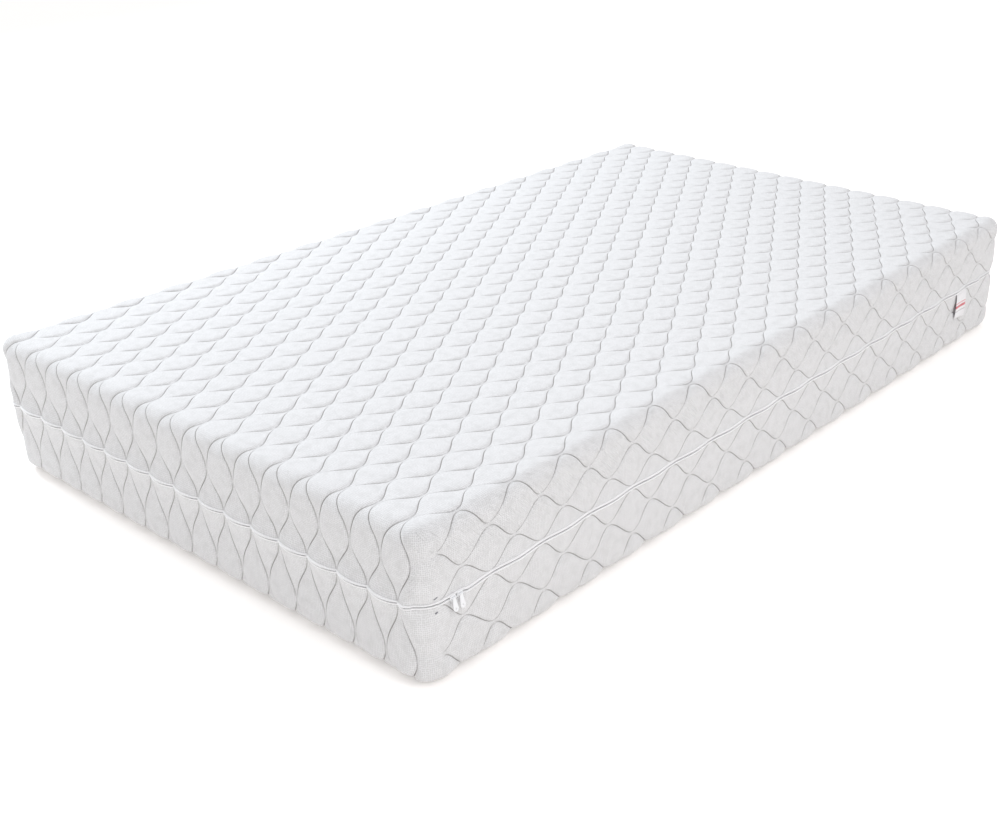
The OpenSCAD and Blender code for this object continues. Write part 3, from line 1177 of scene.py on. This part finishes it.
    def backing_piece(self, material: bpy.types.Material) -> bpy.types.Object:
        """Builds the backing, a thin closed shell just inside the wadding.

        Args:
            material: The backing's finish.

        Returns:
            The finished piece.
        """
        up = self.half.value
        outer_z = 276.9 * MM if self.half is Half.UPPER else 9.2 * MM
        skins = [self._box(0.25 * MM, outer_z), self._box(0.95 * MM, outer_z - 0.8 * MM * up)]
        grid = QuiltGrid(self.lattice, skins[0], across=4, along=4)
        faces, _ = grid.quads()
        skin, _ = skins[0].place(grid.a, grid.b)
        lining, _ = skins[1].place(
            grid.a * skins[1].half_w / self.half_w, grid.b * skins[1].half_l / self.half_l
        )
        lift = [0, 0, 2.2 * MM * up]
        raised = np.clip((np.abs(skin[..., 2:] - self.zip_z) - 2 * MM) / (30 * MM), 0, 1)
        skin, lining = skin + lift * (1 - raised), lining + lift * (1 - raised)
        count = int(grid.used.sum())
        rim = grid.numbers.ravel()[grid.rim()]
        ahead = np.roll(rim, -1)
        edge = np.stack([rim, rim + count, ahead + count, ahead], -1)
        quads = np.concatenate([faces, faces[:, ::-1] + count, edge[:, ::-1]])
        if self.half is Half.LOWER:
            quads = quads[:, ::-1]
        points = np.concatenate([skin[grid.used], lining[grid.used]])
        piece = add_mesh(f"backing_{self.word}", points, quads)
        return finished(piece, material, "cover_backing", f"{self.word}_cover_backing", fill=0.3)

    def bartack_piece(self, material: bpy.types.Material) -> bpy.types.Object:
        """Sews a short slanted bar of zigzag thread beside the zip at each corner.

        Each bar is a thin tube along a zigzag, laid on the puffed cloth.

        Args:
            material: The thread's finish.

        Returns:
            The finished piece.
        """
        points = self.surface()
        cloth = points[self.grid.used]
        length, width = (7 * MM, 1.8 * MM) if self.half is Half.UPPER else (4.5 * MM, 2.6 * MM)
        k = np.linspace(0, 1, 57)
        swing = 2 * np.abs(2 * (k * 7 % 1) - 1) - 1
        turn = math.radians(24)
        parts, faces = [], []
        for side in (-1, 1):
            for end in (-1, 1):
                a = side * (self.half_w + 122 * MM)
                base, normal = self.form.place(np.array(a), np.array(end * 966.7 * MM))
                near = cloth[np.argmin(((cloth - base - normal * 6 * MM) ** 2).sum(-1))]
                centre = base + normal * float((near - base) @ normal)
                along = np.cross([0, 0, 1], normal)
                slant = along * math.cos(turn) * side + np.array([0, 0, math.sin(turn)])
                thwart = np.cross(normal, slant)
                line = centre + slant * ((k - 0.5) * length)[:, None]
                line = line + thwart * (swing * width / 2)[:, None] + normal * 0.1 * MM
                tube, quads, ends = tube_along(line, 0.34 * MM, 6)
                start = sum(map(len, parts))
                faces.append((quads + start, [end_cap + start for end_cap in ends]))
                parts.append(tube)
        caps = tuple(cap for _, ends in faces for cap in ends)
        quads = np.concatenate([quad for quad, _ in faces])
        piece = add_mesh(f"bartacks_{self.word}_sewn", np.concatenate(parts), quads, caps)
        return finished(piece, material, "bartack_thread", f"bartacks_{self.word}")


def tube_along(
    line: np.ndarray, radius: float, sides: int
) -> tuple[np.ndarray, np.ndarray, list[np.ndarray]]:
    """Carries a circle along an open line.

    The circle's axes at each point are the line's direction crossed with a fixed helper,
    and that crossed with the direction.

    Args:
        line: The line's points.
        radius: The tube's radius.
        sides: How many sides the circle has.

    Returns:
        The tube's points, its quads and its two end caps.
    """
    ahead = np.gradient(line, axis=0)
    ahead /= np.linalg.norm(ahead, axis=1, keepdims=True)
    first = np.cross(ahead, [0.31, 0.17, 0.94])
    first /= np.linalg.norm(first, axis=1, keepdims=True)
    second = np.cross(ahead, first)
    turn = np.arange(sides) * math.tau / sides
    ring = first[:, None] * np.cos(turn)[:, None] + second[:, None] * np.sin(turn)[:, None]
    points = (line[:, None] + ring * radius).reshape(-1, 3)
    quads = grid_quads(len(line), sides, ring=True)
    last = np.arange(sides) + (len(line) - 1) * sides
    return points, quads, [np.arange(sides)[::-1], last]


@dataclass
class ZipHalf:
    """One side of the zip: a tape folded into a lip, and the row of coil behind it."""

    cover: QuiltedCover
    pitch: float = 3 * MM
    lip: tuple[tuple[float, float], ...] = (
        (-1.5, 1.3), (1.0, 1.4), (2.1, 1.6), (2.75, 2.1), (2.9, 2.8), (2.5, 3.5),
        (1.6, 4.0), (0.3, 4.2), (-1.0, 4.4), (-1.3, 4.2), (-1.3, 3.2), (-1.5, 2.0),
    )

    def _ring_body(self, name: str, points: np.ndarray) -> bpy.types.Object:
        """Closes a section carried right round the cover into a mesh.

        Args:
            name: The piece's name.
            points: Section points by place along the zip.

        Returns:
            The piece, with its faces turned outwards.
        """
        quads = grid_quads(*points.shape[:2], ring=True, torus=True)
        if self.cover.half is Half.LOWER:
            quads = quads[:, ::-1]
        return add_mesh(name, points.reshape(-1, 3), quads)

    def tape_piece(self, material: bpy.types.Material) -> bpy.types.Object:
        """Carries the lip's section along the zip, out on the cover's relief.

        Args:
            material: The tape's finish.

        Returns:
            The finished piece.
        """
        base, outward, stand = self.cover.rim_path()
        section = np.array(self.lip) * MM
        up = self.cover.half.value
        proud = section[:, 0] + 0 * stand[:, None]
        if self.cover.half is Half.LOWER:
            tucked = 1 - 0.75 * np.abs(outward[:, 1:2])
            proud = np.where(proud > 0, proud * tucked, proud)
        out = np.maximum(stand[:, None] + proud, -0.1 * MM)
        points = base[:, None] + outward[:, None] * out[..., None]
        points[..., 2] += section[:, 1] * up
        piece = self._ring_body(f"tape_{self.cover.word}", points)
        return finished(piece, material, "zip_tape", f"zip_tape_{self.cover.word}")

    def coil_piece(self, material: bpy.types.Material) -> bpy.types.Object:
        """Carries a small round section along the zip, swelling once for each tooth.

        The section's radius is its mean plus a cosine of the length along the zip, one
        wave a tooth.

        Args:
            material: The coil's finish.

        Returns:
            The finished piece.
        """
        base, outward, stand = self.cover.rim_path()
        line = base + outward * (stand - 1.9 * MM)[:, None]
        closed = np.concatenate([line, line[:1]])
        run = np.concatenate([[0], np.cumsum(np.linalg.norm(np.diff(closed, axis=0), axis=1))])
        teeth = round(run[-1] / self.pitch)
        at = np.arange(teeth * 3) / (teeth * 3) * run[-1]
        dense = np.stack([np.interp(at, run, closed[:, i]) for i in range(3)], -1)
        facing = np.concatenate([outward, outward[:1]])
        facing = np.stack([np.interp(at, run, facing[:, i]) for i in range(3)], -1)
        radius = (0.52 + 0.16 * np.cos(math.tau * np.arange(teeth * 3) / 3)) * MM
        turn = np.arange(5) * math.tau / 5
        up = self.cover.half.value
        points = dense[:, None] + facing[:, None] * (radius[:, None] * np.cos(turn))[..., None]
        points[..., 2] += up * (0.95 * MM + radius[:, None] * np.sin(turn))
        piece = self._ring_body(f"coil_{self.cover.word}", points)
        return finished(piece, material, "zip_coil", f"zip_coil_{self.cover.word}")


@dataclass
class FoamCore:
    """The three slabs of foam, cut square where they meet and round at the outer edges."""

    corner: float = 39.5 * MM
    round_edge: float = 19.5 * MM
    cut_edge: float = 1.6 * MM

    def slab(
        self, node: str, finish: OpenCellFoam, round_low: bool, round_high: bool
    ) -> bpy.types.Object:
        """Builds one slab: a rounded rectangle carried up through its edges' quarter circles.

        Args:
            node: The CAD node that the slab stands for.
            finish: The foam's finish.
            round_low: Whether the lower edge has the large radius.
            round_high: Whether the upper edge has the large radius.

        Returns:
            The finished piece.
        """
        low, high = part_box(node)
        quarter = np.linspace(0, math.pi / 2, 7)
        foot = self.round_edge if round_low else self.cut_edge
        head = self.round_edge if round_high else self.cut_edge
        inset = np.concatenate([foot * (1 - np.sin(quarter)), head * (1 - np.cos(quarter))])
        z = np.concatenate(
            [low[2] + foot * (1 - np.cos(quarter)), high[2] - head * (1 - np.sin(quarter))]
        )
        turn = np.concatenate([np.linspace(0, math.pi / 2, 12) + k * math.pi / 2 for k in range(4)])
        sign_x, sign_y = np.repeat([1, -1, -1, 1], 12), np.repeat([1, 1, -1, -1], 12)
        axis_x, axis_y = high[0] - self.corner, high[1] - self.corner
        radius = (self.corner - inset)[:, None]
        x = sign_x * axis_x + radius * np.cos(turn)
        y = sign_y * axis_y + radius * np.sin(turn)
        points = np.stack([x, y, z[:, None] + 0 * x], -1)
        rows, columns = points.shape[:2]
        quads = grid_quads(rows, columns, ring=True)
        last = np.arange(columns) + (rows - 1) * columns
        caps = (np.arange(columns)[::-1], last)
        piece = add_mesh(f"{node}_slab", points.reshape(-1, 3), quads, caps)
        return finished(piece, finish.material(), node, node, fill=1.0)


@dataclass
class SideLabel:
    """The satin label: a strip of ribbon sewn into the zip's seam, loose below it."""

    width: float = 50 * MM
    length: float = 68 * MM
    middle: float = 794 * MM
    seam_z: float = 148.0 * MM
    steps: int = 28

    def piece(self, material: bpy.types.Material) -> bpy.types.Object:
        """Hangs the label from the seam.

        Going down, the ribbon leans out over the puff as a power of a half sine, and below
        the middle its far side curls forward as the square of the length gone.

        Args:
            material: The ribbon's finish.

        Returns:
            The finished piece.
        """
        s, t = np.meshgrid(np.linspace(0, 1, self.steps), np.linspace(0, 1, self.steps))
        out = 598.4 * MM + 3.0 * MM * np.clip(t / 0.1, 0, 1) + 1.2 * MM * np.sin(math.pi * t) ** 0.8
        low = np.clip((t - 0.55) / 0.45, 0, 1) ** 2
        y = self.middle + (s - 0.5) * self.width * (1 - 0.10 * low) - 4.0 * MM * low
        x = out + 0.7 * MM * np.sin(math.tau * s * 1.3 + 0.6) * t + 3.0 * MM * low * s**2
        z = self.seam_z - t * self.length + 2.2 * MM * low * (1 - s)
        points = np.stack([x, y, z], -1).reshape(-1, 3)
        quads = grid_quads(self.steps, self.steps)[:, ::-1]
        maps = {"Cloth": np.stack([s, 1 - t], -1).reshape(-1, 2)[quads]}
        piece = add_mesh("label_ribbon", points, quads, maps=maps)
        solid = piece.modifiers.new("Solidify", "SOLIDIFY")
        solid.thickness, solid.offset = 0.3 * MM, 0.0
        finished(piece, material, "label_satin", "side_label")
        return piece


def move_body(half: Half) -> str:
    """Returns the name of the body that a half of the cover rides on."""
    return "upper_cover" if half is Half.UPPER else "mattress"


class Studio:
    """A pale sweep under soft light, and the camera."""

    def build(self) -> None:
        """Makes the floor, the lights and the camera."""
        self._floor()
        self._lights()
        self._camera()

    def _floor(self) -> None:
        """Lays a wide pale floor, a square grid at z = 0."""
        span = np.linspace(-14, 14, 9)
        x, y = np.meshgrid(span, span)
        points = np.stack([x, y, 0 * x], -1).reshape(-1, 3)
        floor = add_mesh("studio_floor", points, grid_quads(9, 9))
        material, tree = blank_material("matt_paper_sweep")
        place = put(tree, "TexCoord").outputs["Object"]
        grain = noise(tree, place, 3.0, 2.0)
        colour = mixed(tree, grain, linear("#FCF9F6"), linear("#FDFAF7"))
        glow = {"Emission_Color": linear("#FFFFFF"), "Emission_Strength": 0.18}
        close_tree(tree, colour, [], Roughness=1.0, Specular_IOR_Level=0.0, **glow)
        floor.data.materials.append(material)

    def _lights(self) -> None:
        """Hangs one large key, a fill and a sky that is brighter overhead."""
        world = bpy.data.worlds.new("soft_sky")
        world.use_nodes = True
        tree = world.node_tree
        way = put(tree, "TexCoord").outputs["Generated"]
        height = put(tree, "SeparateXYZ", {0: way}).outputs[2]
        low, high = (0.310, 0.294, 0.284, 1), (1.12, 1.125, 1.15, 1)
        tree.links.new(mixed(tree, height, low, high), tree.nodes["Background"].inputs[0])
        bpy.context.scene.world = world
        plans = (
            ("key", (-3.6, -0.5, 2.4), 1.6, 110.0, (0.87, 0.94, 1.0)),
            ("side_fill", (3.2, -0.6, 3.0), 2.4, 35.0, (0.985, 0.98, 1.0)),
        )
        for name, place, size, power, tint in plans:
            light = bpy.data.lights.new(name, "AREA")
            light.color = tint
            light.shape, light.size, light.energy = "SQUARE", size, power
            lamp = bpy.data.objects.new(name, light)
            lamp.location = place
            aim = Vector((0, 0, 0.1)) - Vector(place)
            lamp.rotation_euler = aim.to_track_quat("-Z", "Y").to_euler()
            bpy.context.scene.collection.objects.link(lamp)
        bpy.context.scene.view_settings.view_transform = "Standard"

    def _camera(self) -> None:
        """Sets the camera, level, looking down at the near corner."""
        data = bpy.data.cameras.new("camera")
        data.sensor_width, data.lens = 36.0, 47.54
        data.shift_x, data.shift_y = -0.1037, 0.0281
        data.clip_start, data.clip_end = 0.05, 60.0
        camera = bpy.data.objects.new("camera", data)
        camera.location = (1.8457, -2.0872, 1.2720)
        camera.rotation_euler = (
            math.radians(90 - 26.978),
            0.0,
            math.radians(39.404),
        )
        bpy.context.scene.collection.objects.link(camera)
        bpy.context.scene.camera = camera


def placed(piece: bpy.types.Object, body: str) -> None:
    """Makes a piece ride on a body and reports it."""
    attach(piece, body)
    LOG.info("%s rides on %s: %d vertices", piece.name, body, len(piece.data.vertices))


def dress_sliders(finish: StoveEnamel) -> None:
    """Gives the CAD sliders and pulls their enamel."""
    enamel = finish.material()
    for node in ("slider_a_body", "slider_a_pull", "slider_b_body", "slider_b_pull"):
        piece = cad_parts[node]
        piece.data.materials.clear()
        piece.data.materials.append(enamel)
        LOG.info("%s enamelled", node)


def main() -> None:
    """Builds every sub-assembly in order and reports each piece."""
    logging.basicConfig(level=logging.INFO, format="%(name)s: %(message)s")
    Studio().build()
    lattice = Lattice()
    relief = Relief(lattice)
    cells = Swatch(lattice, 8, 12).run()
    knit, backing = DoubleJersey().material(), NonWoven().material()
    tape = WovenPolyester("woven_zip_tape", "#FBFBFB", "#E6E6E7", 0.9 * MM, satin=0.3).material()
    coil = WovenPolyester("polyester_coil", "#F2F3F5", "#D9DBDF", 1.2 * MM, 0.35).material()
    thread = WovenPolyester("grey_sewing_thread", "#9A9CA3", "#6E7077", 0.5 * MM).material()
    sagged = Lattice(
        a_known=(0.7264, 0.6838, 0.6392, 0.58, 0.54375, -0.58),
        b_known=(-1.1254, -1.0300, -0.9536, 0.9536),
    )
    for half in Half:
        cover = QuiltedCover(half, lattice if half is Half.UPPER else sagged, relief, cells)
        chain = ZipHalf(cover)
        for piece in (
            cover.padded_piece(knit),
            cover.backing_piece(backing),
            cover.bartack_piece(thread),
            chain.tape_piece(tape),
            chain.coil_piece(coil),
        ):
            placed(piece, move_body(half))
    core = FoamCore()
    blue = OpenCellFoam("cold_foam", "#D3DEE8", "#A9B9C8")
    green = OpenCellFoam("comfort_foam", "#CDE0DA", "#A2BDB5")
    cream = OpenCellFoam("memory_foam", "#F2E9C9", "#D8C99C", cell=1.4 * MM)
    placed(core.slab("support_foam", blue, True, False), "mattress")
    placed(core.slab("transition_foam", green, False, False), "mattress")
    placed(core.slab("memory_foam", cream, False, True), "mattress")
    bands = ((0.40, 0.50, "#C9404F"), (0.56, 0.60, "#D98A92"), (0.26, 0.29, "#A9A2A6"))
    satin = WovenPolyester("satin_ribbon", "#F0EFF0", "#DAD9DC", 0.7 * MM, 0.4, 0.5, bands)
    placed(SideLabel().piece(satin.material()), "mattress")
    dress_sliders(StoveEnamel())


if __name__ == "__main__":
    main()
